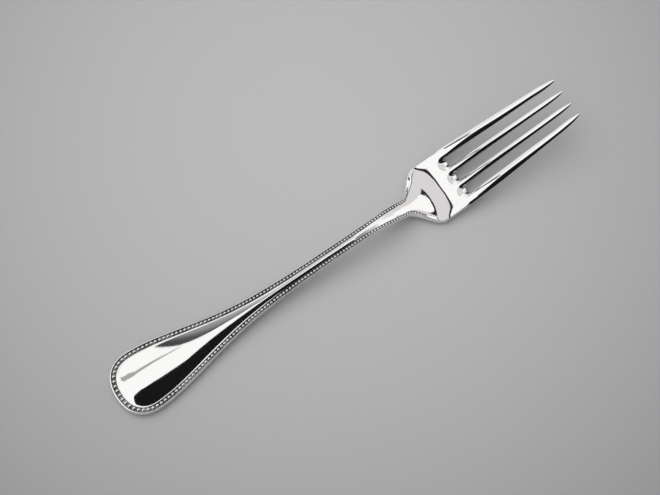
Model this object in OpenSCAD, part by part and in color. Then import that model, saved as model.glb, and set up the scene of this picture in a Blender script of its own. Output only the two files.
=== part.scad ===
// Dessert fork with a graded bead border, lying face up on a table.
// The fork points along +X, its face is up (+Z), and the origin is under its middle, on the table.
// Every place along the fork is a distance from the round end of the handle.

/* [Handle] */
// Length of the broad handle, from its round end to the neck
handle_length = 62; // [54:1:72]
// Greatest width of the handle, near its round end
handle_width = 21; // [18:0.5:24]
// Distance from the round end to the widest place
end_length = 9.8; // [8:0.2:12]
// Bluntness of the round end, where 2 is an ellipse
end_bluntness = 2.25; // [2:0.05:2.8]
// Distance over which the handle narrows towards the neck
taper_reach = 29.2; // [24:0.2:34]
// Suddenness of the narrowing
taper_power = 1.8; // [1.5:0.05:2.2]
// Thickness of the handle at its edge
handle_edge = 1.8; // [1.4:0.1:2.4]
// Rise of the crowned face for each millimetre of its half width, down to the shoulders
crown_slope = 0.09; // [0.04:0.005:0.12]
// Swell of the back of the handle below its edge
handle_belly = 0.5; // [0.2:0.05:0.8]

/* [Neck] */
// Length of the neck, from the handle to the shoulders
neck_length = 44; // [36:1:52]
// Width of the neck at its narrowest place
neck_width = 4.1; // [3.6:0.1:5]
// Width of the neck where it runs into the shoulders
neck_root_width = 5.5; // [4.8:0.1:6.5]
// Distance before the shoulders in which the neck widens
neck_swell = 14; // [10:1:18]
// Thickness of the neck at its edge
neck_edge = 2.5; // [2:0.1:3]
// Swell of the back of the neck below its edge
neck_belly = 0.85; // [0.5:0.05:1.2]

/* [Palm] */
// Length of the palm, from the neck to the roots of the slots
palm_length = 23; // [20:0.5:27]
// Greatest width of the palm
palm_width = 20.6; // [18:0.2:24]
// Distance from the neck to where the shoulders begin to spread
shoulder_start = 1.5; // [0.5:0.1:3]
// Length of the curved shoulders on the palm
shoulder_length = 10.2; // [8:0.2:13]
// Thickness of the palm at its edge
palm_edge = 1.8; // [1.4:0.1:2.2]
// Swell of the back of the palm below its edge
palm_belly = 0.4; // [0.2:0.05:0.7]
// Height of the palm's edges above the bottom of its dish
palm_dish = 1; // [0.6:0.1:2]
// Distance from the start of the shoulders to where the dish begins
dish_start = 7; // [5:0.5:9]
// Distance from the start of the shoulders to where the dish is at its deepest
dish_end = 15; // [12:0.5:16]

/* [Tines] */
// Length of the tines, from the roots of the slots to their points
tine_length = 41; // [35:1:48]
// Width of each slot at its round root
slot_width = 2; // [1.7:0.1:2.5]
// Distance between the middles of the slot roots
slot_pitch = 5.45; // [5:0.05:5.8]
// Rounding of the edges of each slot
slot_bevel = 0.6; // [0.3:0.05:0.8]
// Steepness of the ramp that runs down from the palm into each slot
ramp_angle = 27; // [20:1:40]
// Width of a tine past its root
tine_width = 2.2; // [1.9:0.05:2.6]
// Distance in which an inner tine narrows from its root
inner_blend = 14; // [10:1:20]
// Distance in which an outer tine narrows from its root
outer_blend = 24; // [16:1:30]
// Distance in which the flat face of a tine gives way to a round section
rounding_reach = 14; // [10:1:20]
// Width of a tine where its point begins
tine_tip_width = 1.7; // [1.3:0.05:1.9]
// Thickness of a tine where its point begins
tine_tip_thickness = 1.4; // [1:0.05:1.8]
// Distance between the middles of the two inner tines at their points
inner_tip_pitch = 4.6; // [4:0.1:5.4]
// Distance between the outer edges of the outer tines at their points
tip_spread = 14.9; // [13:0.1:17]
// Length of the drawn point of a tine
point_length = 9; // [5:0.5:14]
// Width of the blunt end of a point
point_width = 0.8; // [0.5:0.05:1.1]

/* [Bead border] */
// Distance between beads at the round end
bead_pitch_end = 1.55; // [1.3:0.05:1.8]
// Distance between beads at the shoulders
bead_pitch_neck = 0.92; // [0.85:0.01:1.1]
// Part of its pitch that a bead fills
bead_fill = 0.82; // [0.72:0.01:0.9]
// Width of the plain rim outside the beads at the round end
rim_end = 0.75; // [0.5:0.05:1.1]
// Width of the plain rim outside the beads at the shoulders
rim_neck = 0.2; // [0.15:0.05:0.35]
// Depth of the ledge that the beads stand on
ledge_depth = 0.2; // [0.1:0.05:0.3]
// Distance that the border runs on past the neck, along the shoulders
border_reach = 5.5; // [4:0.5:6.5]

/* [Side profile] */
// Place where the handle begins to rise towards the neck
rise_start = 34; // [28:1:40]
// Half the length of the bend there
rise_bend = 22; // [14:1:24]
// Distance of the crest of the neck before the palm
crest_before_palm = 3.5; // [2:0.5:6]
// Height of the crest, where the runs on both sides of it would meet
crest_height = 7.5; // [6:0.1:10]
// Half the length of the bend at the crest
crest_bend = 11; // [8:0.5:13]
// Distance of the hollow of the palm past the neck
hollow_past_neck = 9.2; // [8:0.2:12]
// Depth of the hollow below the handle, where the runs on both sides of it would meet
hollow_depth = 1.62; // [1:0.02:2.5]
// Half the length of the bend at the hollow
hollow_bend = 8.5; // [6:0.5:10]
// Height of the points of the tines above the handle
tip_height = 11.4; // [8:0.2:14]

/* [Hidden] */

// Places along the fork
neck_at = handle_length;
palm_at = neck_at + neck_length;
root_at = palm_at + palm_length;
overall_length = root_at + tine_length;
border_end = palm_at + border_reach;
shoulder_at = palm_at + shoulder_start;
crest_at = palm_at - crest_before_palm;
hollow_at = palm_at + hollow_past_neck;

// Share of the dish that the points of the tines still follow
dish_left_at_tip = 0.2;

// Fine detail of the border
border_fade = 2.5;
ledge_room = 0.08;
ledge_wall = 0.08;
rim_round = 0.1;
bead_clearance = 0.02;

// Fineness of the lofts
end_steps = 12;
handle_steps = 22;
neck_steps = 22;
palm_steps = 26;
tine_steps = 22;
face_steps = 4;
rib_count = 6 + face_steps;
corner_steps = 3;
path_end_steps = 40;
path_run_steps = 320;
round_fn = 48;

silver = [0.86, 0.86, 0.87];
bead_silver = [0.78, 0.78, 0.8];

// Easing from 0 at a to 1 at b
function ease(a, b, x) =
    let (q = min(1, max(0, (x - a) / (b - a))))
    q * q * (3 - 2 * q);

function mix(a, b, q) = a + (b - a) * q;

// A straight run that starts with a parabolic bend reaching r to both sides
function bend(x, r) = x <= -r ? 0 : x >= r ? x : (x + r) * (x + r) / (4 * r);
function bend_slope(x, r) = x <= -r ? 0 : x >= r ? 1 : (x + r) / (2 * r);

// Side profile: straight runs of the blank joined by three bends
neck_slope = crest_height / (crest_at - rise_start);
drop_slope = -(crest_height + hollow_depth) / (hollow_at - crest_at);
tine_slope = (tip_height + hollow_depth) / (overall_length - hollow_at);

function profile_height(s) =
    neck_slope * bend(s - rise_start, rise_bend)
    + (drop_slope - neck_slope) * bend(s - crest_at, crest_bend)
    + (tine_slope - drop_slope) * bend(s - hollow_at, hollow_bend);

function profile_angle(s) = atan(
    neck_slope * bend_slope(s - rise_start, rise_bend)
    + (drop_slope - neck_slope) * bend_slope(s - crest_at, crest_bend)
    + (tine_slope - drop_slope) * bend_slope(s - hollow_at, hollow_bend)
);

// Outline: half of the width past the round end
function taper(s) = exp(-pow(max(0, s - end_length) / taper_reach, taper_power));
function outline(s) =
    neck_width / 2
    + (handle_width - neck_width) / 2 * taper(s)
    + (neck_root_width - neck_width) / 2 * ease(palm_at - neck_swell, shoulder_at, s)
    + (palm_width - neck_root_width) / 2 * ease(shoulder_at, shoulder_at + shoulder_length, s)
    - (palm_width - tip_spread) / 2 * narrowing(s);

// Share of the narrowing of the head, from the slot roots to the points
narrow_ease = 5;
function narrowing(s) = bend(s - root_at - narrow_ease, narrow_ease) / (tine_length - narrow_ease);

slope_step = 0.05;
function outline_slope(s) = (outline(s + slope_step) - outline(s - slope_step)) / (2 * slope_step);

// Thickness at the edge, rise of the face, swell of the back and lift of the edges along the fork
function to_neck(s) = ease(end_length, neck_at + neck_length / 2, s);
function to_palm(s) = ease(crest_at, shoulder_at + shoulder_length, s);
function to_tip(s) = min(1, max(0, (s - root_at) / (tine_length - point_length)));
function edge_thickness(s) =
    mix(mix(mix(handle_edge, neck_edge, to_neck(s)), palm_edge, to_palm(s)), tine_tip_thickness, to_tip(s));
function to_dish(s) = ease(shoulder_at + dish_start, shoulder_at + dish_end, s);
function crown_left(s) = 1 - ease(shoulder_at, shoulder_at + dish_end, s);
function crown(s) = crown_slope * face_half(max(s, end_length)) * crown_left(s);
function belly(s) =
    mix(mix(mix(handle_belly, neck_belly, to_neck(s)), palm_belly, to_palm(s)), 0, to_tip(s));
function dish(s) = palm_dish * to_dish(s) * mix(1, dish_left_at_tip, to_tip(s));
function lift(s, y) = dish(s) * pow(y / outline(s), 2);

// Heights of the face and the back above the middle of the blank, away from the border
function face_height(s, y) = edge_thickness(s) / 2 + crown(s) * (1 - pow(y / outline(s), 2)) + lift(s, y);
function back_height(s, y) = -edge_thickness(s) / 2 - belly(s) * (1 - pow(y / outline(s), 2)) + lift(s, y);

// Border sizes, graded from the round end to the shoulders
function grade(s) = 1 - min(1, max(0, s / border_end));
function bead_pitch(s) = mix(bead_pitch_neck, bead_pitch_end, grade(s));
function bead_size(s) = bead_fill * bead_pitch(s);
function rim_width(s) = mix(rim_neck, rim_end, pow(grade(s), 2));
function ledge_width(s) = bead_size(s) + ledge_room;
function face_half(s) = outline(s) - rim_width(s) - ledge_width(s) - ledge_wall;
function border_depth(s) = 1 - ease(border_end, border_end + border_fade, s);
function ledge_height(s) = edge_thickness(s) / 2 - ledge_depth * border_depth(s);

// A point of the fork: distance along it, distance to the left, height above the middle of the blank
function place(s, y, h) =
    let (a = profile_angle(s))
    [s - overall_length / 2 - h * sin(a), y, profile_height(s) + h * cos(a) + table_height];

// Height of the middle of the handle above the table, so that the lowest point of the back rests on it
rest_steps = 200;
function back_low(s) = profile_height(s) + back_height(s, 0) * cos(profile_angle(s));
table_height = -min([for (i = [0 : rest_steps]) back_low(mix(end_length, overall_length, i / rest_steps))]);

// A station of the outline: its place, its half width, the direction inwards and the place where its rib ends
apex_station = [0, 0, [1, 0], end_length / 2];
function end_station(a) =
    let (
        p = 2 / end_bluntness,
        s = end_length * (1 - pow(cos(a), p)),
        w = handle_width / 2 * pow(sin(a), p),
        ds = end_length * pow(cos(a), p - 1) * sin(a),
        dw = handle_width / 2 * pow(sin(a), p - 1) * cos(a),
        n = norm([ds, dw])
    )
    [s, w, [dw / n, -ds / n], (s + end_length) / 2];
function run_station(s) = [s, outline(s), [0, -sqrt(1 + pow(outline_slope(s), 2))], s];

// Stations from the apex of the round end, past its widest place, to a place along the fork
function stations_to(s, end_count, run_count) = concat(
    [apex_station],
    [for (i = [1 : end_count - 1]) end_station(90 * i / end_count)],
    run(end_length, s, run_count)
);

// Evenly spaced stations along a run of the blank
function run(from, to, steps) = [for (i = [0 : steps]) run_station(mix(from, to, i / steps))];

// Plan place of a station at a depth inside the outline
function inside(st, depth) = [st[0], st[1]] + depth * st[2];

// Half of a rib: the face from the edge to the middle, then the back from the edge to the middle
edge_share = 0.35;
crest_share = 0.7;
back_round = 0.45;
function face_rib(st) =
    let (
        s = st[0],
        top = edge_thickness(s) / 2,
        rim = rim_width(s),
        ledge = rim + ledge_width(s),
        b = border_depth(s),
        foot = inside(st, ledge + ledge_wall),
        rise = crown(s),
        edge_points = [
            [edge_share * rim, top],
            [crest_share * rim, top + rim_round * b],
            [rim - ledge_wall, top + rim_round * b],
            [rim, ledge_height(s)],
            [ledge, ledge_height(s)],
            [ledge + ledge_wall, top]
        ]
    )
    [
        for (e = edge_points) rib_point(inside(st, e[0]), e[1]),
        for (i = [1 : face_steps])
            let (q = i / face_steps, p = mix(foot, [st[3], 0], q))
            rib_point(p, top + rise * (1 - pow(1 - q, 2)))
    ];
function back_rib(st) =
    let (s = st[0], bottom = -edge_thickness(s) / 2, start = inside(st, back_round))
    [
        for (i = [0 : rib_count - 1])
            let (q = i / (rib_count - 1), p = mix(start, [st[3], 0], q))
            rib_point(p, bottom - belly(s) * (1 - pow(1 - q, 2)))
    ];
function rib_point(p, h) = [p[0], p[1], h + lift(max(p[0], end_length), p[1])];

// A closed ring of points round the blank at one station
function left(points) = [for (p = points) place(p[0], p[1], p[2])];
function right(points) = [for (p = points) place(p[0], -p[1], p[2])];
function reversed(list) = [for (i = [len(list) - 1 : -1 : 0]) list[i]];
function but_last(list) = [for (i = [0 : len(list) - 2]) list[i]];
function ring(st) =
    let (face = face_rib(st), back = back_rib(st), side = rib_point([st[0], st[1]], 0))
    concat(
        left([side]), left(face), reversed(right(but_last(face))),
        right([side]), right(back), reversed(left(but_last(back)))
    );
ring_count = 4 * rib_count;

// The two halves of the first ring of the handle lie on each other and share their points
function ring_index(i, k, closed_end) =
    let (
        n = ring_count,
        j = k % n,
        folded = j > n / 4 && j <= n / 2 ? n / 2 - j : j > n / 2 && j < 3 * n / 4 ? 3 * n / 2 - j : j
    )
    i * n + (closed_end && i == 0 ? folded : j);

function skin(rings, closed_end) = [
    for (i = [0 : rings - 2])
        for (k = [0 : ring_count - 1])
            let (
                a = ring_index(i, k, closed_end),
                b = ring_index(i, k + 1, closed_end),
                c = ring_index(i + 1, k + 1, closed_end),
                d = ring_index(i + 1, k, closed_end)
            )
            each [[a, c, b], [a, d, c]]
];

// A flat end face, laced from the face of the ring to its back
function end_face(i) =
    let (n = ring_count, f = i * n)
    [
        [f, f + 1, f + n - 1],
        for (k = [1 : n / 2 - 2])
            each [[f + k, f + k + 1, f + n - k], [f + k + 1, f + n - k - 1, f + n - k]],
        [f + n / 2 - 1, f + n / 2, f + n / 2 + 1]
    ];
function flipped(faces) = [for (f = faces) [f[0], f[2], f[1]]];

module loft(stations, closed_end) {
    rings = [for (st = stations) ring(st)];
    last = len(rings) - 1;
    polyhedron(
        points = [for (r = rings) each r],
        faces = concat(
            skin(len(rings), closed_end),
            flipped(end_face(last)),
            closed_end ? [] : end_face(0)
        )
    );
}

module handle() {
    color(silver) loft(stations_to(neck_at, end_steps, handle_steps), true);
}

module neck() {
    color(silver) loft(run(neck_at, palm_at, neck_steps), false);
}

// Stands its children at a point of the fork, upright on the blank
module stand_at(s, y, h) {
    translate(place(s, y, h)) rotate([0, -profile_angle(s), 0]) children();
}

// Cutter for the root of a slot: its round end, and the ramp that runs down into it
cut_room = 4;
module slot_root(y) {
    r = slot_width / 2;
    ramp_r = r + slot_bevel;
    floor_h = back_height(root_at, y);
    stand_at(root_at, y, 0) {
        translate([0, 0, -cut_room]) cylinder(h = 2 * cut_room, r = r, $fn = round_fn);
        translate([0, 0, floor_h])
            rotate([0, ramp_angle - 90, 0])
                translate([ramp_r, 0, -cut_room])
                    cylinder(h = 4 * cut_room, r = ramp_r, $fn = round_fn);
    }
}

module palm() {
    color(silver)
        difference() {
            loft(run(palm_at, root_at, palm_steps), false);
            for (i = [-1 : 1]) slot_root(i * slot_pitch);
        }
}

// Inner and outer edge of a tine at a distance along the fork
root_width_inner = slot_pitch - slot_width;
root_width_outer = outline(root_at) - slot_pitch - slot_width / 2;
function tine_body_width(s, outer) =
    let (
        slim = mix(tine_width, tine_tip_width, to_tip(s)),
        root_width = outer ? root_width_outer : root_width_inner,
        q = min(1, (s - root_at) / (outer ? outer_blend : inner_blend))
    )
    slim + (root_width - tine_width) * pow(1 - q, 2);
function to_point(s) = max(0, (s - overall_length + point_length) / point_length);
point_power = 2.4;
function point_scale(s) = mix(1, point_width / tine_tip_width, pow(to_point(s), point_power));
function tine_middle(s, outer) =
    outer
        ? outline(s) - tine_body_width(s, true) / 2
        : mix(slot_pitch, inner_tip_pitch, narrowing(s)) / 2;
function tine_half(s, outer) = tine_body_width(s, outer) / 2 * point_scale(s);

// A rounded section of a tine, as points of a box from -1 to 1
function box_corner(k, rx, ry) = [
    for (i = [0 : corner_steps])
        let (
            a = 90 * (k + i / corner_steps),
            cx = (k == 0 || k == 3 ? 1 : -1) * (1 - rx),
            cy = (k < 2 ? 1 : -1) * (1 - ry)
        )
        [cx + rx * cos(a), cy + ry * sin(a)]
];
tine_fullness = 0.92;
function tine_ring(s, side, outer) =
    let (
        c = tine_middle(s, outer),
        w = tine_half(s, outer),
        top = face_height(s, c),
        bottom = back_height(s, c),
        t = (top - bottom) / 2,
        round = mix(slot_bevel, tine_fullness * min(w, t), ease(root_at, root_at + rounding_reach, s)),
        slim = point_scale(s)
    )
    [
        for (k = [0 : 3])
            each [
                for (p = box_corner(k, round / w, round / t))
                    let (
                        y = c + w * p[0],
                        h = mix(back_height(s, y), face_height(s, y), 0.5 + 0.5 * p[1] * slim)
                    )
                    place(s, side * y, h)
            ]
    ];
tine_ring_count = 4 * (corner_steps + 1);

module tine(side, outer) {
    n = tine_ring_count;
    rings = [
        for (i = [0 : tine_steps]) tine_ring(mix(root_at, overall_length, i / tine_steps), side, outer)
    ];
    walls = [
        for (i = [0 : tine_steps - 1])
            for (k = [0 : n - 1])
                let (a = i * n + k, b = i * n + (k + 1) % n)
                each [[a, b, b + n], [a, b + n, a + n]]
    ];
    root_face = [for (k = [1 : n - 2]) [0, k + 1, k]];
    point_face = [for (k = [1 : n - 2]) [0, k, k + 1] + [1, 1, 1] * tine_steps * n];
    faces = concat(walls, root_face, point_face);
    color(silver)
        polyhedron(points = [for (r = rings) each r], faces = side > 0 ? flipped(faces) : faces);
}

module left_outer_tine() {
    tine(1, true);
}

module left_inner_tine() {
    tine(1, false);
}

module right_inner_tine() {
    tine(-1, false);
}

module right_outer_tine() {
    tine(-1, true);
}

// Path of the bead row on the left: plan places at the middle of the ledge
function ledge_middle(st) = inside(st, rim_width(st[0]) + ledge_width(st[0]) / 2);
bead_path = [for (st = stations_to(border_end, path_end_steps, path_run_steps)) ledge_middle(st)];
path_last = len(bead_path) - 1;

// Number of beads that fit between the apex and each point of the path
function bead_step(i) = norm(bead_path[i] - bead_path[i - 1]) / bead_pitch(bead_path[i][0]);
path_counts = [for (i = 0, n = 0; i <= path_last; i = i + 1, n = n + (i > path_last ? 0 : bead_step(i))) n];
beads_a_side = floor(path_counts[path_last]);
along_table = [for (i = [0 : path_last]) [path_counts[i], bead_path[i][0]]];
across_table = [for (i = [0 : path_last]) [path_counts[i], bead_path[i][1]]];

// Half a ball that stands on the ledge with its flat side down
module bead(d) {
    difference() {
        sphere(d = d, $fn = round_fn);
        translate([-d, -d, -2 * d]) cube(2 * d);
    }
}

module bead_border() {
    color(bead_silver)
        for (i = [-beads_a_side : beads_a_side]) {
            s = lookup(abs(i), along_table);
            y = sign(i) * lookup(abs(i), across_table);
            stand_at(s, y, ledge_height(s) + bead_clearance) bead(bead_size(s));
        }
}

handle();
bead_border();
neck();
palm();
left_outer_tine();
left_inner_tine();
right_inner_tine();
right_outer_tine();
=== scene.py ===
import math

import bpy
import numpy as np
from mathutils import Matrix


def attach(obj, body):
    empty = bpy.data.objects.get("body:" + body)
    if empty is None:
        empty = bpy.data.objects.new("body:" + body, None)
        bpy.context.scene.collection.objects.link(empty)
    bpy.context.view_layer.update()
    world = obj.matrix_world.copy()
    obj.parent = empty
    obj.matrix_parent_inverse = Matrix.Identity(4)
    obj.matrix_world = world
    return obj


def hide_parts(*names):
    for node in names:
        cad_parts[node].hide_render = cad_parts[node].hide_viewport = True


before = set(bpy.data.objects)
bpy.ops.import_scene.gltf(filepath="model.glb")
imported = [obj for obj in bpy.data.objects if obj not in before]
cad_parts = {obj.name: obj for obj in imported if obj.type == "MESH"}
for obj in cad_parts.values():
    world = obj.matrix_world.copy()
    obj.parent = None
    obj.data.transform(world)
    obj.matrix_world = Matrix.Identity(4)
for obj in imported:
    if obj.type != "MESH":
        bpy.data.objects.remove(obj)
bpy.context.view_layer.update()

# The handle
# The broad end of the fork: a crowned face and a round end, with a ledge for the beads and a thin rim along
# the edge. It is one end of a nickel silver blank, struck between two dies, silver plated and polished.
# Sizes are in millimetres, and places along the fork are measured from its round end.
millimetre = 0.001
overall_length = 170.0
neck_at = 62.0
palm_at = 106.0
root_at = 130.0
handle_width = 21.0
end_length = 9.8
end_bluntness = 2.25
taper_reach = 29.2
taper_power = 1.8
neck_width = 4.1
neck_root_width = 5.5
neck_swell = 14.0
palm_width = 20.6
shoulder_at = 107.5
shoulder_length = 10.2
tip_spread = 15.6
narrow_at = 131.5
narrow_bend = 12.0
handle_edge = 1.8
neck_edge = 2.5
palm_edge = 1.8
tine_tip_thickness = 1.4
handle_belly = 0.5
neck_belly = 0.85
palm_belly = 0.4
crown_slope = 0.09
palm_dish = 1.0
dish_left_at_tip = 0.75
dish_start = 114.5
dish_full = 122.5
border_end = 111.5
border_fade = 1.3
bead_pitch_end = 1.55
bead_pitch_neck = 0.92
bead_fill = 0.82
rim_end = 0.75
rim_neck = 0.2
rim_round = 0.1
ledge_depth = 0.2
ledge_room = 0.08
ledge_wall = 0.14
ledge_wall_run = 0.2
rim_turn_share = 0.45
least_rim_slope = 0.1
least_ledge = 0.5
land_share = 0.28
least_land = 0.01
land_end = 58.0
land_gone = 70.0
palm_edge_turn = 0.42
edge_bevel = 0.9
edge_bevel_start = 4.7
edge_bevel_full = 2.0
edge_steps = 10
bevel_power = 1.2
bevel_share = 0.5
back_turn_most = 0.5
back_turn_least = 0.2
back_turn_share = 0.3
point_length = 9.0
overlap = 0.37
slope_step = 0.05
weld_fineness = 1e5
crest_at = 102.5
crest_height = 7.5
hollow_at = 115.2
hollow_depth = 1.62
hollow_bend = 8.5
crest_bend = 11.0
rise_start = 34.0
rise_bend = 22.0
tip_height = 11.4
neck_slope = crest_height / (crest_at - rise_start)
drop_slope = -(crest_height + hollow_depth) / (hollow_at - crest_at)
tine_slope = (tip_height + hollow_depth) / (overall_length - hollow_at)
spine_bends = (
    (rise_start, rise_bend, neck_slope),
    (crest_at, crest_bend, drop_slope - neck_slope),
    (hollow_at, hollow_bend, tine_slope - drop_slope),
)


def ease(start, end, s):
    q = np.clip((s - start) / (end - start), 0, 1)
    return q * q * (3 - 2 * q)


def mix(a, b, q):
    return a + (b - a) * q


def bend(x, reach):
    return np.where(x > reach, x, np.clip(x + reach, 0, None) ** 2 / (4 * reach))


def spine_height(s):
    return sum(turn * bend(s - at, reach) for at, reach, turn in spine_bends)


def spine_lean(s):
    turned = (turn * np.clip((s - at + reach) / (2 * reach), 0, 1) for at, reach, turn in spine_bends)
    return np.arctan(sum(turned))


def narrowing(s):
    return bend(s - narrow_at, narrow_bend) / (overall_length - narrow_at)


def outline(s):
    taper = np.exp(-(np.clip(s - end_length, 0, None) / taper_reach) ** taper_power)
    swell = (neck_root_width - neck_width) / 2 * ease(palm_at - neck_swell, shoulder_at, s)
    shoulder = (palm_width - neck_root_width) / 2 * ease(shoulder_at, shoulder_at + shoulder_length, s)
    gather = (palm_width - tip_spread) / 2 * narrowing(s)
    return mix(neck_width, handle_width, taper) / 2 + swell + shoulder - gather


def to_neck(s):
    return ease(end_length, (neck_at + palm_at) / 2, s)


def to_palm(s):
    return ease(crest_at, shoulder_at + shoulder_length, s)


def to_tip(s):
    return np.clip((s - root_at) / (overall_length - root_at - point_length), 0, 1)


def edge_thickness(s):
    stem_edge = mix(handle_edge, neck_edge, to_neck(s))
    return mix(mix(stem_edge, palm_edge, to_palm(s)), tine_tip_thickness, to_tip(s))


def belly(s):
    return mix(mix(mix(handle_belly, neck_belly, to_neck(s)), palm_belly, to_palm(s)), 0, to_tip(s))


def grade(s):
    return 1 - np.clip(s / border_end, 0, 1)


def bead_pitch(s):
    return mix(bead_pitch_neck, bead_pitch_end, grade(s))


def rim_width(s):
    return mix(rim_neck, rim_end, grade(s) ** 2)


def ledge_width(s):
    return bead_fill * bead_pitch(s) + ledge_room


def face_half(s):
    return outline(s) - rim_width(s) - ledge_width(s) - ledge_wall


def border_relief(s):
    return 1 - ease(border_end, border_end + border_fade, s)


def ledge_height(s):
    return edge_thickness(s) / 2 - ledge_depth * border_relief(s)


def crown(s):
    return crown_slope * face_half(np.maximum(s, end_length)) * (1 - ease(shoulder_at, dish_full, s))


def lift(s, y):
    dish = palm_dish * ease(dish_start, dish_full, s) * mix(1, dish_left_at_tip, to_tip(s))
    return dish * (y / outline(np.maximum(s, end_length))) ** 2


table_steps = np.linspace(end_length, overall_length, 201)
table_height = -np.min(
    spine_height(table_steps)
    - (edge_thickness(table_steps) / 2 + belly(table_steps)) * np.cos(spine_lean(table_steps))
)


def place(s, y, h):
    s, y, h = np.broadcast_arrays(s, y, h)
    h = h + lift(s, y)
    along = s - overall_length / 2 - h * np.sin(spine_lean(s))
    return np.stack([along, y, spine_height(s) + h * np.cos(spine_lean(s)) + table_height], -1)


def bevel_fall(u, roundness):
    """Share of a bevel's depth at the share u of its width: nearly flat at roundness 0, oval at 1."""
    return mix(u ** bevel_power, 1 - np.sqrt(np.clip(1 - u * u, 0, 1)), roundness)


def to_bevel(s):
    return ease(root_at - edge_bevel_start, root_at - edge_bevel_full, s)


def edge_section(s):
    """Depths in from the outline, heights, and tarnish with painted shade from the side to the face, a row
    for each station.
    """
    top = edge_thickness(s) / 2
    crest = top + rim_round * border_relief(s)
    bed = ledge_height(s)
    turn = mix(mix(rim_turn_share * rim_width(s), palm_edge_turn, to_palm(s)), edge_bevel, to_bevel(s))
    inner = np.maximum(rim_width(s), turn + least_rim_slope)
    foot = np.maximum(rim_width(s) + ledge_width(s) + ledge_wall, turn + least_ledge)
    a = np.linspace(0, math.pi / 2, edge_steps)
    fall = np.linspace(0, 1, 7)[1:]
    flat = np.array([0.35, 0.65])
    wall = np.linspace(0, 1, 7)
    land = np.array([0.5, 1.0])
    depth = np.hstack([
        turn * (1 - np.cos(a)),
        mix(turn, inner, fall),
        mix(inner, foot - ledge_wall_run, flat),
        mix(foot - ledge_wall_run, foot, wall),
        foot + land_share * bead_pitch(s) * (1 - ease(land_end, land_gone, s)) * land + least_land * land,
    ])
    height = np.hstack([
        crest * (1 - mix(1, bevel_share, to_bevel(s)) * bevel_fall(np.cos(a), 1 - to_bevel(s))),
        mix(crest, bed, ease(0.5, 1, fall)),
        bed + 0 * flat,
        mix(bed, top, ease(0, 1, wall)),
        top + 0 * land,
    ])
    # Painted shade, partly tarnish: the slope into the bead ledge and the ledge floor are darkened, fading
    # out up the ledge wall.
    shade = np.hstack([0 * a, ease(0.55, 0.9, fall), 1 + 0 * flat, 1 - ease(0.2, 0.8, wall), 0 * land])
    recess = shade * border_relief(s)
    return depth, height, recess


def end_stations(steps):
    """Places, inward directions and middles of the sections round the end, from the apex outwards."""
    a = np.linspace(0, math.pi / 2, steps + 1)[1:-1]
    p = 2 / end_bluntness
    s = end_length * (1 - np.cos(a) ** p)
    w = handle_width / 2 * np.sin(a) ** p
    ds = end_length * np.cos(a) ** (p - 1) * np.sin(a)
    dw = handle_width / 2 * np.sin(a) ** (p - 1) * np.cos(a)
    size = np.hypot(ds, dw)
    apex = np.array([[0, 0, 1, 0, end_length / 2]])
    return np.vstack([apex, np.stack([s, w, dw / size, -ds / size, (s + end_length) / 2], -1)])


def run_stations(s):
    """The same for the sections at s. Their depths are stretched by the slope of the outline."""
    slope = (outline(s + slope_step) - outline(s - slope_step)) / (2 * slope_step)
    return np.stack([s, outline(s), 0 * s, -np.sqrt(1 + slope ** 2), s], -1)


def back_turn_depth(half_width):
    return np.minimum(back_turn_most, back_turn_share * half_width + back_turn_least)


def start_skin():
    return {"points": [], "faces": [], "pieces": [], "recess": [], "count": 0}


def lay_on(skin, grid, recess, names, upward):
    """Adds a grid of the left half and its mirror image. Names gives both sides' pieces, row by row."""
    rows, columns = grid.shape[:2]
    number = np.arange(rows * columns).reshape(rows, columns)
    corners = [number[:-1, :-1], number[:-1, 1:], number[1:, 1:], number[1:, :-1]]
    corners = np.stack(corners, -1).reshape(-1, 4)
    for side, mirror in enumerate(([1, 1, 1], [1, -1, 1])):
        skin["points"].append(grid.reshape(-1, 3) * mirror)
        skin["faces"].append((corners if upward == (side == 0) else corners[:, ::-1]) + skin["count"])
        skin["pieces"].append(np.repeat([name[side] for name in names], columns - 1))
        skin["recess"].append(np.broadcast_to(recess, (rows, columns)).reshape(-1))
        skin["count"] += rows * columns


def weld(skin):
    """One set of points with smooth normals from the laid grids, in metres."""
    points = np.concatenate(skin["points"])
    key = np.round(points * weld_fineness).astype(np.int64)
    _, first, where = np.unique(key, axis=0, return_index=True, return_inverse=True)
    faces = where.reshape(-1)[np.concatenate(skin["faces"])]
    points = points[first] * millimetre
    across = np.cross(points[faces[:, 2]] - points[faces[:, 0]], points[faces[:, 3]] - points[faces[:, 1]])
    normals = np.zeros_like(points)
    for corner in range(4):
        np.add.at(normals, faces[:, corner], across)
    normals /= np.linalg.norm(normals, axis=1, keepdims=True) + 1e-30
    return points, normals, faces, np.concatenate(skin["pieces"]), np.concatenate(skin["recess"])[first]


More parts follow.
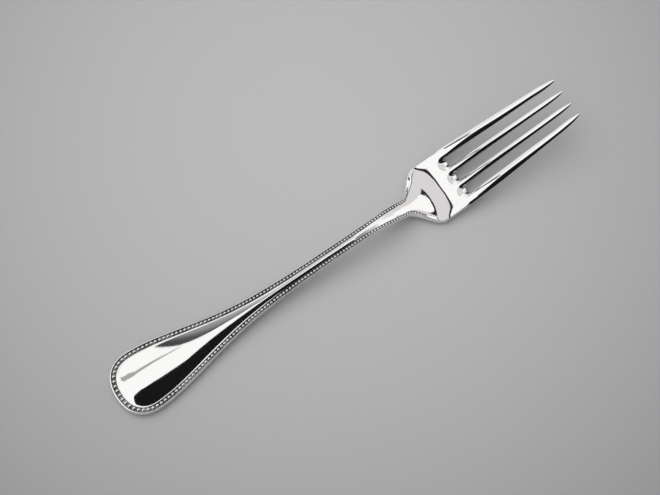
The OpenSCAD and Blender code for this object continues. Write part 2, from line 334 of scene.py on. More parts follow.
def struck_piece(name, welded):
    """Cuts one piece out of a welded skin, closes its open rims and keeps the smooth normals."""
    points, normals, faces, pieces, recess = welded
    rings = []
    for corners in faces[pieces == name].tolist():
        ring = [c for i, c in enumerate(corners) if c != corners[i - 1]]
        if len(set(ring)) == len(ring) and len(ring) > 2:
            rings.append(ring)
    edges = {(a, b) for ring in rings for a, b in zip(ring, ring[1:] + ring[:1])}
    follow = {b: a for a, b in edges if (b, a) not in edges}
    smooth = len(rings)
    while follow:
        ring = [next(iter(follow))]
        while ring[-1] in follow:
            ring.append(follow.pop(ring[-1]))
        if len(ring) > 3:
            rings.append(ring[:-1])
    used = sorted({c for ring in rings for c in ring})
    new = {c: i for i, c in enumerate(used)}
    mesh = bpy.data.meshes.new(name)
    mesh.from_pydata(points[used].tolist(), [], [[new[c] for c in ring] for ring in rings])
    mesh.shade_smooth()
    loop_normals = []
    for polygon, ring in zip(mesh.polygons, rings):
        flat = tuple(polygon.normal)
        for c in ring:
            loop_normals.append(tuple(normals[c]) if polygon.index < smooth else flat)
    mesh.normals_split_custom_set(loop_normals)
    # This attribute holds the painted darkening: tarnish with painted shade, painted dark lines and painted
    # wall shade.
    shade_and_tarnish_layer = mesh.attributes.new("recess", "FLOAT", "POINT")
    shade_and_tarnish_layer.data.foreach_set("value", recess[used].astype(np.float32))
    made = bpy.data.objects.new(name, mesh)
    bpy.context.scene.collection.objects.link(made)
    return made


class Wire:
    """A value in a node tree. Sums, products and powers of wires add the Math nodes that work them out."""

    def __init__(self, tree, socket=None):
        self.tree = tree
        self.socket = socket

    def node(self, kind, settings=None, sockets=None, out=0):
        made = self.tree.nodes.new(kind)
        for name, value in (settings or {}).items():
            if name == "stops":
                while len(made.color_ramp.elements) < len(value):
                    made.color_ramp.elements.new(0.5)
                for stop, (position, level) in zip(made.color_ramp.elements, value):
                    stop.position = position
                    stop.color = (level, level, level, 1)
            else:
                setattr(made, name, value)
        for name, value in (sockets or {}).items():
            if isinstance(value, Wire):
                self.tree.links.new(value.socket, made.inputs[name])
            else:
                made.inputs[name].default_value = value
        return Wire(self.tree, made.outputs[out])

    def math(self, operation, first, second):
        return self.node("ShaderNodeMath", {"operation": operation}, {0: first, 1: second})

    def blend(self, factor, first, second):
        colours = {"Factor": factor, 6: first, 7: second}
        return self.node("ShaderNodeMix", {"data_type": "RGBA"}, colours, out=2)

    def __add__(self, other):
        return self.math("ADD", self, other)

    __radd__ = __add__

    def __sub__(self, other):
        return self.math("SUBTRACT", self, other)

    def __rsub__(self, other):
        return self.math("SUBTRACT", other, self)

    def __mul__(self, other):
        return self.math("MULTIPLY", self, other)

    __rmul__ = __mul__

    def __pow__(self, other):
        return self.math("POWER", self, other)

    def __rpow__(self, other):
        return self.math("POWER", other, self)

    def ramp(self, *stops):
        made = self.node("ShaderNodeValToRGB", {"stops": stops}, {"Fac": self})
        made.socket.node.color_ramp.interpolation = "EASE"
        return made


def mirror_silver(name, plate, hollow, shade_attribute):
    """Polished silver plate with handling haze, hairline scratches, and a darkening of tarnish and painted
    shade.
    """
    finish = bpy.data.materials.new(name)
    finish.use_nodes = True
    tree = finish.node_tree
    shader = tree.nodes["Principled BSDF"]
    start = Wire(tree)
    where = start.node("ShaderNodeTexCoord", out="Object")
    haze = start.node("ShaderNodeTexNoise", None, {"Vector": where, "Scale": 70.0, "Detail": 4.0})
    patches = start.node("ShaderNodeTexNoise", None, {"Vector": where, "Scale": 260.0, "Detail": 3.0})
    scratches = 0.0
    for turn, seed in ((0.3, 0.0), (1.2, 3.1), (-0.5, 7.7)):
        laid = start.node("ShaderNodeMapping", None, {
            "Vector": where,
            "Location": (seed, seed, seed),
            "Rotation": (0, 0, turn),
            "Scale": (55, 2600, 2600),
        })
        line = start.node("ShaderNodeTexNoise", None, {"Vector": laid, "Scale": 1.0, "Detail": 1.0})
        scratches = line.ramp((0.70, 0.0), (0.78, 1.0)) + scratches
    # Painted shade, partly tarnish: the attribute darkens the colour towards near black in the ledges, along
    # facet edges, on slot walls and on the beads' lower sides.
    dark = start.node("ShaderNodeAttribute", {"attribute_name": shade_attribute}, out="Fac")
    shade_and_tarnish_mask = dark * patches.ramp((0.3, 0.75), (0.7, 1.0))
    hazy_plate = tuple(0.985 * c for c in plate[:3]) + (1,)
    tint = start.blend(haze.ramp((0.35, 0.0), (0.7, 1.0)), plate, hazy_plate)
    colour = start.blend(shade_and_tarnish_mask, tint, hollow)
    roughness = 0.035 + 0.02 * haze.ramp((0.4, 0.0), (0.75, 1.0)) + 0.05 * scratches + 0.2 * shade_and_tarnish_mask
    relief = start.node(
        "ShaderNodeBump", None, {"Strength": 0.02, "Distance": 0.00002, "Height": scratches}
    )
    shader.inputs["Metallic"].default_value = 1.0
    tree.links.new(colour.socket, shader.inputs["Base Color"])
    tree.links.new(roughness.socket, shader.inputs["Roughness"])
    tree.links.new(relief.socket, shader.inputs["Normal"])
    return finish


silver_colour = (0.95, 0.945, 0.935, 1)
tarnish_and_shade_colour = (0.05, 0.047, 0.045, 1)
plate_finish = mirror_silver("polished_plate", silver_colour, tarnish_and_shade_colour, "recess")


def hand_over(piece, finish, node):
    piece.data.materials.clear()
    piece.data.materials.append(finish)
    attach(piece, "root")
    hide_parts(node)


stem_run = np.concatenate([
    np.linspace(end_length, neck_at, 141),
    np.linspace(neck_at, palm_at, 121)[1:],
    palm_at + overlap * np.array([1, 2]),
])
stem = np.vstack([end_stations(48), run_stations(stem_run)])
stem_s, stem_w, inward_s, inward_y, stem_middle = (stem[:, [k]] for k in range(5))
depth, height, edge_tarnish_and_shade = edge_section(stem_s)
to_middle = np.linspace(0, 1, 27)[1:]
face_s = mix(stem_s + depth[:, -1:] * inward_s, stem_middle, to_middle)
face_y = mix(stem_w + depth[:, -1:] * inward_y, 0, to_middle)
face_h = edge_thickness(stem_s) / 2 + crown(stem_s) * (1 - (1 - to_middle) ** 2)
stem_face = place(
    np.hstack([stem_s + depth * inward_s, face_s]),
    np.hstack([stem_w + depth * inward_y, face_y]),
    np.hstack([height, face_h]),
)
back_turn = np.linspace(0, math.pi / 2, 9)
back_depth = back_turn_depth(stem_w) * (1 - np.cos(back_turn))
back_s = stem_s + back_depth * inward_s
back_y = stem_w + back_depth * inward_y
to_back = np.linspace(0, 1, 19)[1:]
stem_back = place(
    np.hstack([back_s, mix(back_s[:, -1:], stem_middle, to_back)]),
    np.hstack([back_y, mix(back_y[:, -1:], 0, to_back)]),
    np.hstack([
        -edge_thickness(stem_s) / 2 * np.sin(back_turn),
        -edge_thickness(stem_s) / 2 - belly(stem_s) * (1 - (1 - to_back) ** 2),
    ]),
)
row_names = [("silver_handle" if s < neck_at else "silver_neck",) * 2 for s in stem[:-3, 0]]
row_names += [("beyond",) * 2] * 2
stem_skin = start_skin()
lay_on(stem_skin, stem_face, np.hstack([edge_tarnish_and_shade, 0 * face_s]), row_names, True)
lay_on(stem_skin, stem_back, 0 * stem_back[:, :, 0], row_names, False)
stem_welded = weld(stem_skin)
hand_over(struck_piece("silver_handle", stem_welded), plate_finish, "handle")

# The neck
# The slim stem between the handle and the shoulders, about 4 mm thick and bent up to a crest above the palm.
# It is part of the same struck blank as the handle, and the rim and the bead ledge run on along its edges.
hand_over(struck_piece("silver_neck", stem_welded), plate_finish, "neck")

# The palm
# The shouldered, shallow dish that carries the tines. It is rolled down from the neck to about 2 mm, dished
# in the die, and pierced by three slots, each of which starts in a short polished ramp.
slot_pitch = 5.45
slot_half = 1.7
even_start = 110.0
even_full = 121.0
hollow_end_start = 114.0
hollow_end_full = 124.0
bevel_width = 0.65
ramp_length = 2.35
ramp_depth = 0.72
ramp_ease = 0.3
facet_start = 126.4
facet_full = 128.2
facet_fade = 137.8
facet_gone = 140.3
wall_start = 127.0
wall_full = 129.0
# How dark the slot walls are painted, as shade: it stands in for the shadowed table that the walls mirror.
wall_painted_shade = 0.8
least_face = 0.1
palm_lead = 0.4
fine_length = 4.0
arc_steps = 10
wall_steps = 3


def face_height(s, y):
    half = np.maximum(face_half(s), least_face)
    return edge_thickness(s) / 2 + crown(s) * np.clip(1 - (y / half) ** 2, 0, 1)


def back_height(s, y):
    return -edge_thickness(s) / 2 - belly(s) * np.clip(1 - (y / outline(s)) ** 2, 0, 1)


def painted_facet_line(s):
    """Strength of the dark line painted along the edges of a facet, a painted reflection of the crease."""
    return ease(facet_start, facet_full, s) * (1 - ease(facet_fade, facet_gone, s))


arc = np.linspace(0, math.pi / 2, arc_steps + 1)
across_bevel = np.sin(arc)
wall_down = np.linspace(0, 1, wall_steps + 1)[1:]
foot_arc = arc[1:]
floor_across = np.cos(np.linspace(0, math.pi, 15))[1:-1]
half_floor = floor_across[:7]
outer_top = np.linspace(0, 1, 13)[1:-1]
inner_top = np.linspace(0, 1, 15)[1:-1]
outer_bottom = np.linspace(0, 1, 10)
inner_bottom = np.linspace(0, 1, 10)
edge_turn = np.linspace(0, math.pi / 2, 8)[1:]


def palm_row(s):
    """Points of the face and of the back of the left half of the palm at s, from the edge to the middle."""
    scale = mix(face_half(s) / face_half(root_at), 1, ease(even_start, even_full, s))
    q = np.clip((s - root_at + ramp_length) / ramp_length, 0, 1)
    run = q * q / (2 * ramp_ease) if q < ramp_ease else q - ramp_ease / 2
    share = ramp_depth * run / (1 - ramp_ease / 2) if s < root_at else 1.0
    depth, height, _ = edge_section(np.array([[s]]))
    stretch = -run_stations(np.array([s]))[0, 3]
    edge_y = outline(s) - depth[0] * stretch

    def wall(middle, side):
        thickness = face_height(s, middle) - back_height(s, middle)
        down = share * thickness
        deep = bevel_share * thickness / 2
        u = across_bevel * min(1, down / deep) ** (1 / bevel_power)
        out = bevel_width * np.concatenate([1 - u, np.full(wall_steps + arc_steps, 1 - u[-1])])
        low = np.concatenate([
            deep * bevel_fall(u, 0), mix(min(down, deep), down, wall_down), np.full(arc_steps, down)
        ])
        y = middle + side * scale * (slot_half + out)
        return y, mix(face_height(s, y), back_height(s, y), low / thickness)

    def floor(middle, half, across):
        round_end = half * np.sqrt(1 - across ** 2) * ease(hollow_end_start, hollow_end_full, s)
        return s - round_end, middle + half * across

    def floor_height(along, y):
        return mix(face_height(along, y), back_height(along, y), share)

    slot_middle = slot_pitch * scale
    near_y, near_h = wall(slot_middle, 1)
    far_y, far_h = wall(slot_middle, -1)
    mid_y, mid_h = wall(0.0, 1)
    slot_s, slot_y = floor(slot_middle, near_y[-1] - slot_middle, floor_across)
    half_s, half_y = floor(0.0, mid_y[-1], half_floor)
    top_y = mix(edge_y[-1], near_y[0], outer_top)
    rib_y = mix(far_y[0], mid_y[0], inner_top)
    face = (
        (edge_y * 0 + s, edge_y, height[0]),
        (top_y * 0 + s, top_y, face_height(s, top_y)),
        (near_y * 0 + s, near_y, near_h),
        (slot_s, slot_y, floor_height(slot_s, slot_y)),
        (far_y[::-1] * 0 + s, far_y[::-1], far_h[::-1]),
        (rib_y * 0 + s, rib_y, face_height(s, rib_y)),
        (mid_y * 0 + s, mid_y, mid_h),
        (half_s, half_y, floor_height(half_s, half_y)),
    )
    side_y = outline(s) - back_turn_depth(outline(s)) * (1 - np.cos(edge_turn)) * stretch
    outer_y = mix(side_y[-1], slot_middle + scale * slot_half, outer_bottom[1:])
    inner_y = mix(slot_middle - scale * slot_half, scale * slot_half, inner_bottom)
    gap_s, gap_y = floor(slot_middle, scale * slot_half, floor_across)
    end_s, end_y = floor(0.0, scale * slot_half, half_floor)
    back = (
        (edge_y[:1] * 0 + s, edge_y[:1], height[0][:1]),
        (side_y * 0 + s, side_y, -edge_thickness(s) / 2 * np.sin(edge_turn)),
        (outer_y * 0 + s, outer_y, back_height(s, outer_y)),
        (gap_s, gap_y, back_height(gap_s, gap_y)),
        (inner_y * 0 + s, inner_y, back_height(s, inner_y)),
        (end_s, end_y, back_height(end_s, end_y)),
    )
    return [place(*(np.concatenate(values) for values in zip(*stretches))) for stretches in (face, back)]


palm_s = np.concatenate([
    palm_at - palm_lead * np.array([2, 1]),
    np.linspace(palm_at, root_at - fine_length, 50),
    np.linspace(root_at - fine_length, root_at - ramp_length, 14)[1:],
    np.linspace(root_at - ramp_length, root_at, 26)[1:],
])
palm_rows = [palm_row(s) for s in palm_s]
palm_face = np.stack([face for face, _ in palm_rows])
palm_back = np.stack([back for _, back in palm_rows])
palm_names = [("beyond",) * 2] * 2 + [("silver_palm",) * 2] * (len(palm_s) - 3)
# Tarnish with painted shade on the ledge, painted dark lines at the facet edges, and painted shade on the
# slot walls.
_, _, palm_tarnish_and_shade = edge_section(palm_s[:, None])
tarnish_and_shade_over = np.zeros(palm_face.shape[:2])
tarnish_and_shade_over[:, :palm_tarnish_and_shade.shape[1]] = palm_tarnish_and_shade
near_lip = palm_tarnish_and_shade.shape[1] + len(outer_top)
slot_wall = arc_steps + 1 + wall_steps + arc_steps
far_lip = near_lip + 2 * slot_wall + len(floor_across) - 1
mid_lip = far_lip + len(inner_top) + 1
# Painted reflection: dark lines along the three facet creases.
for column in (near_lip, far_lip, mid_lip):
    tarnish_and_shade_over[:, column] = painted_facet_line(palm_s)
# Painted shade on the palm's slot walls, from the slot roots on; the walls are also made rougher.
painted_wall_shade = wall_painted_shade * ease(wall_start, wall_full, palm_s[:, None])
for first in (near_lip + arc_steps + 1, far_lip + 1 - slot_wall, mid_lip + arc_steps + 1):
    tarnish_and_shade_over[:, first:first + wall_steps + arc_steps] = painted_wall_shade
head_skin = start_skin()
lay_on(head_skin, palm_face, tarnish_and_shade_over, palm_names, True)
lay_on(head_skin, palm_back, 0 * palm_back[:, :, 0], palm_names, False)

# The tines
# Four slender prongs, cut out of the palm and filed from a flat root to a ridged face and a fine point.
# They are one piece with the palm, bent up towards their points and polished all round.
tine_width = 2.1
outer_extra = 1.45
extra_left_at_tip = 0.2
tine_tip_width = 1.7
root_blend = 24.0
inner_tip_pitch = 4.7
level_end = 134.0
ridge_meet = 139.8
rounding_end = 141.0
ridge_full = 162.0
ridge_slope = 0.73
ridge_power_root = 1.4
ridge_power_tip = 1.8
ridge_reach = 0.98
foot_round = 0.6
point_width = 0.4
point_power = 3.0
least_point = 0.05
nose_length = 0.3
crease_columns = 3


def to_ridge(s):
    return np.clip((s - root_at) / (ridge_meet - root_at), 0, 1)


def point_scale(s):
    to_point = np.clip((s - overall_length + point_length) / point_length, 0, 1)
    nose = np.clip((s - overall_length + nose_length) / nose_length, 0, 1)
    return mix(1, point_width / tine_tip_width, to_point ** point_power) * np.sqrt(1 - nose ** 2)


def tine_body_width(s, root_width, extra):
    q = np.clip((s - root_at) / root_blend, 0, 1)
    slim = mix(tine_width, tine_tip_width, to_tip(s)) + extra * mix(1, extra_left_at_tip, to_tip(s))
    return slim + (root_width - tine_width - extra) * (1 - q) ** 2


def tine_fall(u, s, width):
    """How far a tine's side has fallen at the share u of the width: a bevel at the root, then a ridge."""
    half_thickness = (edge_thickness(s) + belly(s)) / 2 * np.maximum(point_scale(s), least_point)
    power = mix(ridge_power_root, ridge_power_tip, ease(rounding_end, ridge_full, s))
    ridge = ridge_slope / power * width * u ** power
    return mix(bevel_share * u ** bevel_power, ridge / half_thickness, ease(root_at, rounding_end, s))


def tine_side(s, half):
    """Distances in, heights, rounding of the lower edge and painted shade of a tine's bevel, wall and foot.
    """
    bevel = mix(bevel_width, ridge_reach * half, to_ridge(s))
    low = np.clip((s - root_at) / (rounding_end - root_at), 0, 1) * foot_round
    side = np.concatenate([
        bevel * (1 - across_bevel), np.zeros(wall_steps), half * low * (1 - np.cos(foot_arc))
    ])
    fall = 1 - tine_fall(across_bevel, s, bevel)
    up = np.concatenate([fall, mix(fall[-1], -1 + low, wall_down), -1 + low * (1 - np.sin(foot_arc))])
    # Painted shade on the wall and foot, which are also made rougher.
    wall_shade = np.concatenate([0 * fall, np.full(wall_steps + arc_steps, wall_painted_shade)])
    return side, up, low, wall_shade


def section_points(s, middle, aside, up):
    """Points of a tine's section, where up goes from -1 on the back to 1 on the face."""
    y = middle + aside
    low, high = back_height(s, y), face_height(s, y)
    level = ease(root_at, level_end, s) * (lift(s, middle) - lift(s, y))
    return place(s, y, high - (high - low) / 2 * (1 - up) * point_scale(s) + level)


def outer_tine_row(s):
    """The left outer tine at s: its face from the outer edge to the slot, its back, and the painted dark
    lines and wall shade.
    """
    root_width = outline(root_at) - slot_pitch - slot_half
    body = tine_body_width(s, root_width, outer_extra)
    middle = outline(s) - body / 2
    half = body / 2 * point_scale(s)
    side, side_up, low, wall_shade = tine_side(s, half)
    outer_bevel = mix(edge_bevel, ridge_reach * half, to_ridge(s))
    a = np.cos(np.linspace(0, math.pi / 2, edge_steps))
    depth, _, _ = edge_section(np.array([[root_at]]))
    edge_share = (depth[0, edge_steps:] - edge_bevel) / (root_width - edge_bevel - bevel_width)
    share = np.concatenate([edge_share, mix(edge_share[-1], 1, outer_top)])
    top = mix(outer_bevel, 2 * half - side[0], share)
    across = np.concatenate([outer_bevel * (1 - a), top, 2 * half - side])
    up = np.concatenate([1 - tine_fall(a, s, outer_bevel), 1 + 0 * share, side_up])
    line = np.concatenate([0 * a, 0 * share, wall_shade])
    slot_crease = edge_steps + len(share)
    # Painted reflection: dark lines along the creases of the facets.
    line[edge_steps - crease_columns:edge_steps] = painted_facet_line(s)
    line[slot_crease:slot_crease + crease_columns] = painted_facet_line(s)
    back_in = mix(min(back_turn_most, half), half, low)
    across_back = np.concatenate([
        [0], back_in * (1 - np.cos(edge_turn)), mix(back_in, 2 * half - half * low, outer_bottom[1:])
    ])
    up_back = np.concatenate([up[:1], -np.sin(edge_turn), np.full(len(outer_bottom) - 1, -1.0)])
    face = section_points(s, middle, half - across, up)
    return face, section_points(s, middle, half - across_back, up_back), line


def inner_tine_row(s):
    """The left inner tine at s: its face from one slot to the next, its back, and the painted dark lines and
    wall shade.
    """
    root_width = slot_pitch - 2 * slot_half
    half = tine_body_width(s, root_width, 0) / 2 * point_scale(s)
    middle = mix(slot_pitch, inner_tip_pitch, narrowing(s)) / 2
    side, side_up, low, wall_shade = tine_side(s, half)
    top = mix(side[0], 2 * half - side[0], inner_top)
    across = np.concatenate([side[::-1], top, 2 * half - side])
    up = np.concatenate([side_up[::-1], 1 + 0 * top, side_up])
    line = np.concatenate([wall_shade[::-1], 0 * top, wall_shade])
    right_crease = len(side) + len(top)
    # Painted reflection: dark lines along the creases of the facets.
    line[len(side) - crease_columns:len(side)] = painted_facet_line(s)
    line[right_crease:right_crease + crease_columns] = painted_facet_line(s)
    bottom = mix(half * low, 2 * half - half * low, inner_bottom)
    face = section_points(s, middle, half - across, up)
    return face, section_points(s, middle, half - bottom, -1 + 0 * bottom), line


tine_s = np.concatenate([
    np.linspace(root_at, overall_length - nose_length, 104),
    overall_length - nose_length * (1 - np.sin(np.linspace(0, math.pi / 2, 8)[1:])),
])
# Each tine carries painted dark lines at its facet creases and painted shade on its walls.
for row, kind in ((outer_tine_row, "outer"), (inner_tine_row, "inner")):
    faces, backs, painted_lines = (np.stack(part) for part in zip(*(row(s) for s in tine_s)))
    names = [(f"silver_left_{kind}_tine", f"silver_right_{kind}_tine")] * (len(tine_s) - 1)
    lay_on(head_skin, faces, painted_lines, names, True)
    lay_on(head_skin, backs, 0.0, names, False)
head_welded = weld(head_skin)
hand_over(struck_piece("silver_palm", head_welded), plate_finish, "palm")
for side in ("left", "right"):
    for kind in ("outer", "inner"):
        tine = struck_piece(f"silver_{side}_{kind}_tine", head_welded)
        hand_over(tine, plate_finish, f"{side}_{kind}_tine")

# The bead border
# A row of round beads along the edge, from one shoulder round the end to the other, which grow from the neck
# to the end. They are struck with the blank, plated and polished. Each bead is painted darker below its top,
# as shade, and the ledge between them is painted darker as tarnish and shade.
bead_height = 0.85
shown_fill = 0.78
bead_shade_top = 1.15
bead_shade_fade = 4.0
path = np.vstack([end_stations(400), run_stations(np.linspace(end_length, border_end, 3000))])
path_depth = rim_width(path[:, 0]) + ledge_width(path[:, 0]) / 2
path_s = path[:, 0] + path_depth * path[:, 2]
path_y = path[:, 1] + path_depth * path[:, 3]
steps = np.hypot(np.diff(path_s), np.diff(path_y))
count = np.concatenate([[0], np.cumsum(steps / bead_pitch((path[1:, 0] + path[:-1, 0]) / 2))])
number = np.arange(int(count[-1]) + 1)
bead_s = np.interp(number, count, path_s)
bead_y = np.interp(number, count, path_y)
bead_s, bead_y = np.concatenate([bead_s, bead_s[1:]]), np.concatenate([bead_y, -bead_y[1:]])
bead_places = place(bead_s, bead_y, ledge_height(bead_s)) * millimetre
seeds = bpy.data.meshes.new("bead_places")
seeds.from_pydata(bead_places.tolist(), [], [])
for name, values in (("pitch", bead_pitch(bead_s) * millimetre), ("lean", -spine_lean(bead_s))):
    seeds.attributes.new(name, "FLOAT", "POINT").data.foreach_set("value", values)
bead_row = bpy.data.objects.new("bead_row", seeds)
bpy.context.scene.collection.objects.link(bead_row)
bead_finish = mirror_silver("bead_silver", silver_colour, tarnish_and_shade_colour, "hollow")

tree = bpy.data.node_groups.new("bead_border", "GeometryNodeTree")
sizes = {}
for name, kind in (
    ("Places", "NodeSocketGeometry"),
    ("Fill of the pitch", "NodeSocketFloat"),
    ("Height", "NodeSocketFloat"),
    ("Sides", "NodeSocketInt"),
    ("Rings", "NodeSocketInt"),
    ("Finish", "NodeSocketMaterial"),
):
    sizes[name] = tree.interface.new_socket(name, in_out="INPUT", socket_type=kind).identifier
tree.interface.new_socket("Beads", in_out="OUTPUT", socket_type="NodeSocketGeometry")
start = Wire(tree)
entry = tree.nodes.new("NodeGroupInput")
given = {name: Wire(tree, entry.outputs[name]) for name in sizes}
ball = start.node(
    "GeometryNodeMeshUVSphere", None, {"Segments": given["Sides"], "Rings": given["Rings"], "Radius": 0.5}
)
rise = start.node("ShaderNodeSeparateXYZ", None, {0: start.node("GeometryNodeInputPosition")}, out="Z")
# Painted shade: each bead is darkened below its top cap, as a lit ball shades away from the light.
shade = start.node("ShaderNodeClamp", None, {0: bead_shade_top - bead_shade_fade * rise})
ball = start.node(
    "GeometryNodeStoreNamedAttribute", {"data_type": "FLOAT", "domain": "POINT"},
    {"Geometry": ball, "Name": "hollow", "Value": shade},
)
pitch = start.node("GeometryNodeInputNamedAttribute", {"data_type": "FLOAT"}, {"Name": "pitch"})
lean = start.node("GeometryNodeInputNamedAttribute", {"data_type": "FLOAT"}, {"Name": "lean"})
size = pitch * given["Fill of the pitch"]
beads = start.node("GeometryNodeInstanceOnPoints", None, {
    "Points": given["Places"],
    "Instance": ball,
    "Rotation": start.node("ShaderNodeCombineXYZ", None, {"Y": lean}),
    "Scale": start.node("ShaderNodeCombineXYZ", None, {"X": size, "Y": size, "Z": size * given["Height"]}),
})
beads = start.node("GeometryNodeRealizeInstances", None, {0: beads})
beads = start.node("GeometryNodeSetShadeSmooth", None, {0: beads})
beads = start.node("GeometryNodeSetMaterial", None, {"Geometry": beads, "Material": given["Finish"]})
last = tree.nodes.new("NodeGroupOutput")
tree.links.new(beads.socket, last.inputs["Beads"])

setting = bead_row.modifiers.new("bead_border", "NODES")
setting.node_group = tree
for name, value in (
    ("Fill of the pitch", shown_fill),
    ("Height", bead_height),
    ("Sides", 10),
    ("Rings", 6),
    ("Finish", bead_finish),
):
    setting[sizes[name]] = value
view_layer = bpy.context.evaluated_depsgraph_get()
bead_mesh = bpy.data.meshes.new_from_object(bead_row.evaluated_get(view_layer))
bead_row.modifiers.remove(setting)
bpy.data.objects.remove(bead_row)
bead_border = bpy.data.objects.new("silver_beads", bead_mesh)
bpy.context.scene.collection.objects.link(bead_border)
hand_over(bead_border, bead_finish, "bead_border")

# The table
# A sheet of pale grey card under the fork, with a fine fleck. It takes the fork's soft shadow, and its
# colour is painted a little darker away from the light, a painted pool of light.
table_reach = 6000
table_drop = 0.05
painted_light_middle = (0.0147, 0.0302)
painted_light_fall = 15.5
least_painted_light = 0.35
card = bpy.data.materials.new("grey_card")
card.use_nodes = True
shader = card.node_tree.nodes["Principled BSDF"]


def place_on(tree):
    """The X and the Y of a place in the object's own frame, in metres."""
    where = Wire(tree).node("ShaderNodeTexCoord", out="Object")
    return [where.node("ShaderNodeSeparateXYZ", None, {0: where}, out=axis) for axis in ("X", "Y")]


start = Wire(card.node_tree)
where = start.node("ShaderNodeTexCoord", out="Object")
fleck = start.node("ShaderNodeTexNoise", None, {"Vector": where, "Scale": 900.0, "Detail": 3.0})
card_x, card_y = place_on(card.node_tree)
# Painted light: the card's colour is darkened with distance from a point under the lamp.
away = (card_x - painted_light_middle[0]) ** 2 + (card_y - painted_light_middle[1]) ** 2
pale = start.blend(fleck, (0.52, 0.52, 0.525, 1), (0.55, 0.55, 0.555, 1))
painted_light_falloff = start.blend(start.math("MAXIMUM", 1 - painted_light_fall * away, least_painted_light), (0, 0, 0, 1), pale)
card.node_tree.links.new(painted_light_falloff.socket, shader.inputs["Base Color"])
shader.inputs["Roughness"].default_value = 0.85
shader.inputs["Specular IOR Level"].default_value = 0.15


def sheet(name, corners, z, finish):
    """A flat sheet at the height z with the given corners, in millimetres."""
    mesh = bpy.data.meshes.new(name)
    points = np.array([(x, y, z) for x, y in corners]) * millimetre
    mesh.from_pydata(points.tolist(), [], [range(len(corners))])
    mesh.materials.append(finish)
    made = bpy.data.objects.new(name, mesh)
    bpy.context.scene.collection.objects.link(made)
    return made


table_corners = [(x * table_reach, y * table_reach) for x, y in ((-1, -1), (1, -1), (1, 1), (-1, 1))]
sheet("table", table_corners, -table_drop, card)

# The light tent
# A white tent with a dark opening towards the camera, a grey roof panel with a hemmed window, and smaller
# cloths hung over the handle, the neck and the palm's edge. These are seen in the silver only: the table is
# lit by a soft lamp and an even grey glow.
roof_height = 2400
hung_height = 150
low_height = 20
world = bpy.data.worlds.new("light_tent")
bpy.context.scene.world = world
world.use_nodes = True
start = Wire(world.node_tree)
toward = start.node("ShaderNodeTexCoord", out="Generated")
across = start.node("ShaderNodeSeparateXYZ", None, {0: toward}, out="Y")
above = start.node("ShaderNodeSeparateXYZ", None, {0: toward}, out="Z")
opening = (across * 0.5 + 0.5).ramp((0.335, 0.01), (0.37, 1.0), (0.8, 1.0), (0.97, 0.8))
far_side = across.ramp((0.55, 0.0), (0.8, 1.0))
tent = opening * (1 - far_side * (1 - above.ramp((0.02, 0.35), (0.25, 1.0))))
mirrored = start.node("ShaderNodeLightPath", out="Is Glossy Ray")
seen = start.blend(mirrored, (0.45, 0.45, 0.45, 1), tent)
world.node_tree.links.new(seen.socket, world.node_tree.nodes["Background"].inputs["Color"])
world.node_tree.nodes["Background"].inputs["Strength"].default_value = 1.0


def glowing(name, level=1.0, tint=(1, 1, 1)):
    finish = bpy.data.materials.new(name)
    finish.use_nodes = True
    nodes = finish.node_tree.nodes
    nodes.remove(nodes["Principled BSDF"])
    light = nodes.new("ShaderNodeEmission")
    light.inputs["Color"].default_value = tuple(level * c for c in tint) + (1,)
    finish.node_tree.links.new(light.outputs[0], nodes["Material Output"].inputs["Surface"])
    return finish


def lit_by(finish, glow):
    """Lets a cloth's glow change over its surface."""
    finish.node_tree.links.new(glow.socket, finish.node_tree.nodes["Emission"].inputs["Color"])


def tent_cloth(name, corners, z, finish):
    """A sheet that only mirrors show: the camera and the lamp's light pass through it."""
    made = sheet(name, corners, z, finish)
    made.visible_camera = False
    made.visible_diffuse = False
    made.visible_shadow = False
    return made


def hem(name, line, width, z, finish):
    """A strip along the left side of a line of points, as wide as given at each of them."""
    line, width = np.array(line, float), np.array(width, float)[:, None]
    ahead = np.gradient(line, axis=0)
    aside = np.stack([-ahead[:, 1], ahead[:, 0]], -1) / np.linalg.norm(ahead, axis=1, keepdims=True)
    return tent_cloth(name, np.vstack([line, (line + aside * width)[::-1]]).tolist(), z, finish)


dark_hem = glowing("dark_hem", 0.02)
panel_grey = glowing("panel_grey", 0.72, (1, 0.965, 0.98))
white_cloth = glowing("white_cloth")
tent_cloth(
    "roof_panel",
    [(-30, 1300), (-30, -880), (12000, -880), (12000, 6400), (2700, 6400), (2300, 2000)],
    roof_height, panel_grey,
)
hem(
    "roof_hem", [(-190, 1180), (-190, 600), (-190, 100), (-175, -880)], [150, 165, 190, 150],
    roof_height - 1, dark_hem,
)
window_edge = [(1357, 141), (1416, 280), (1546, 462), (1700, 539), (1774, 578), (1825, 622), (1890, 705)]
window_rest = [
    (2467, 801), (2937, 898), (4209, 1266), (12000, 4240), (12000, -3200), (4000, -520), (2288, 82),
]
tent_cloth("roof_window", window_edge + window_rest, roof_height - 1, white_cloth)
hem(
    "window_hem", [(2560, 820), (2300, 770)] + window_edge[::-1] + [(1750, 100), (2260, 70)],
    [4, 80, 150, 150, 140, 140, 165, 210, 230, 170, 4], roof_height - 2, dark_hem,
)

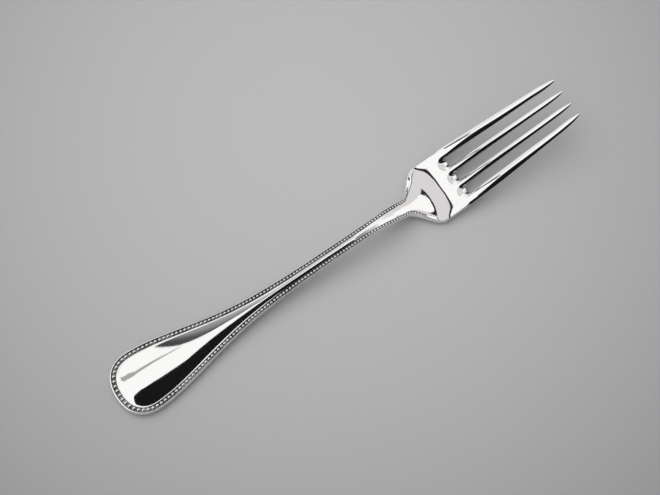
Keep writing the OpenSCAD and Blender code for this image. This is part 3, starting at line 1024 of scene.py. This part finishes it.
white_corners = [(-170, -70), (14, -70), (14, 120), (-170, 120)]
tent_cloth("white_sheet", white_corners, hung_height + 2, white_cloth)
hem(
    "tent_seam", [(-149, 88.5), (-93, 61.8), (-81.6, 52.9), (-72.9, 53.5), (-66, 54.5), (-61, 54.5)],
    [10, 10, 9, 8, 6, 2], hung_height, glowing("pale_seam", 0.4),
)
tent_cloth("black_cloth", [
    (-260, -75), (-150, -23), (-108, -7), (-92, 0.4), (-81, 9), (-72.9, 9.2), (-65, 6.5), (-61.3, 4),
    (-58, 9.7), (-55, 14.5), (-51.4, 19), (-49, 24), (-37.4, 30), (-24.2, 26), (-10.6, 18), (-6, 10),
    (-4, -40), (60, -90), (60, -400), (-260, -400),
], hung_height, glowing("black_cloth", 0.008))
soft_grey = glowing("soft_grey")
grey_x, grey_y = place_on(soft_grey.node_tree)
from_left = (grey_x + 0.062) * 30
lit = from_left.ramp((0.0, 0.01), (0.12, 0.1), (0.27, 0.4), (0.5, 0.85), (0.8, 1.0))
glow = 0.74 * lit * (1 - 0.8 * math.e ** ((grey_y - 0.046) * -110))
lit_by(soft_grey, glow.math("MAXIMUM", glow, 0.01))
tent_cloth("grey_cloth", [
    (-62.5, 400), (-61.7, 90.8), (-60.6, 64.4), (-58.7, 54.2), (-56.9, 48.5), (-53.1, 46.8), (-49.2, 45.5),
    (-37.5, 44.5), (-24.2, 50), (-10.4, 48), (-3, 46), (-3, 400),
], hung_height, soft_grey)

neck_white = glowing("neck_cloth")
neck_x, neck_y = place_on(neck_white.node_tree)
along = neck_x * 42.5 - 0.2
upper = (neck_y * 450 - 0.4).ramp((0.0, 0.0), (1.0, 1.0))
lower_glow = along.ramp((0.0, 0.25), (0.35, 0.6), (0.6, 1.0))
upper_glow = along.ramp((0.0, 0.9), (0.5, 0.95), (0.95, 0.74))
lit_by(neck_white, lower_glow + upper * (upper_glow - lower_glow))
tent_cloth("neck_cloth", [(3.4, -30), (32, -30), (32, 40), (3.4, 40)], low_height, neck_white)
edge_line = [(33.6, 11.3), (36, 12.6), (39, 13.4), (43.6, 13.8), (47.5, 14.7), (52, 16)]
tent_cloth("edge_cloth", edge_line + [(52, 26), (33.6, 26)], low_height + 0.1, white_cloth)
hem("edge_hem", edge_line, [0.15, 0.55, 0.55, 0.5, 0.4, 0.1], low_height, dark_hem)

lamp = bpy.data.lights.new("soft_lamp", "AREA")
lamp.shape = "DISK"
lamp.size = 1.3
lamp.energy = 7.8
soft_lamp = bpy.data.objects.new("soft_lamp", lamp)
lamp_x, lamp_y, lamp_z = -0.12, 0.42, 1.0
soft_lamp.location = (lamp_x, lamp_y, lamp_z)
soft_lamp.rotation_euler = (-math.atan2(lamp_y, lamp_z), math.atan2(lamp_x, lamp_z), 0)
soft_lamp.visible_glossy = False
bpy.context.scene.collection.objects.link(soft_lamp)

# The camera
# A longish lens above and in front of the fork, which looks down at 76 degrees with the handle at the lower
# left of the picture.
elevation = math.radians(76)
turn = math.radians(33.6656)
distance = 0.495576
aim = np.array([-0.0030015, 0.003584, 0])
ahead = np.array([math.sin(turn), math.cos(turn), 0]) * math.cos(elevation)
forward = ahead - np.array([0, 0, math.sin(elevation)])
lens = bpy.data.cameras.new("camera")
lens.lens = 85
lens.sensor_width = 36
camera = bpy.data.objects.new("camera", lens)
camera.location = aim - forward * distance
camera.rotation_euler = (math.pi / 2 - elevation, 0, -turn)
bpy.context.scene.collection.objects.link(camera)
bpy.context.scene.camera = camera

bpy.context.scene.view_settings.view_transform = "Standard"
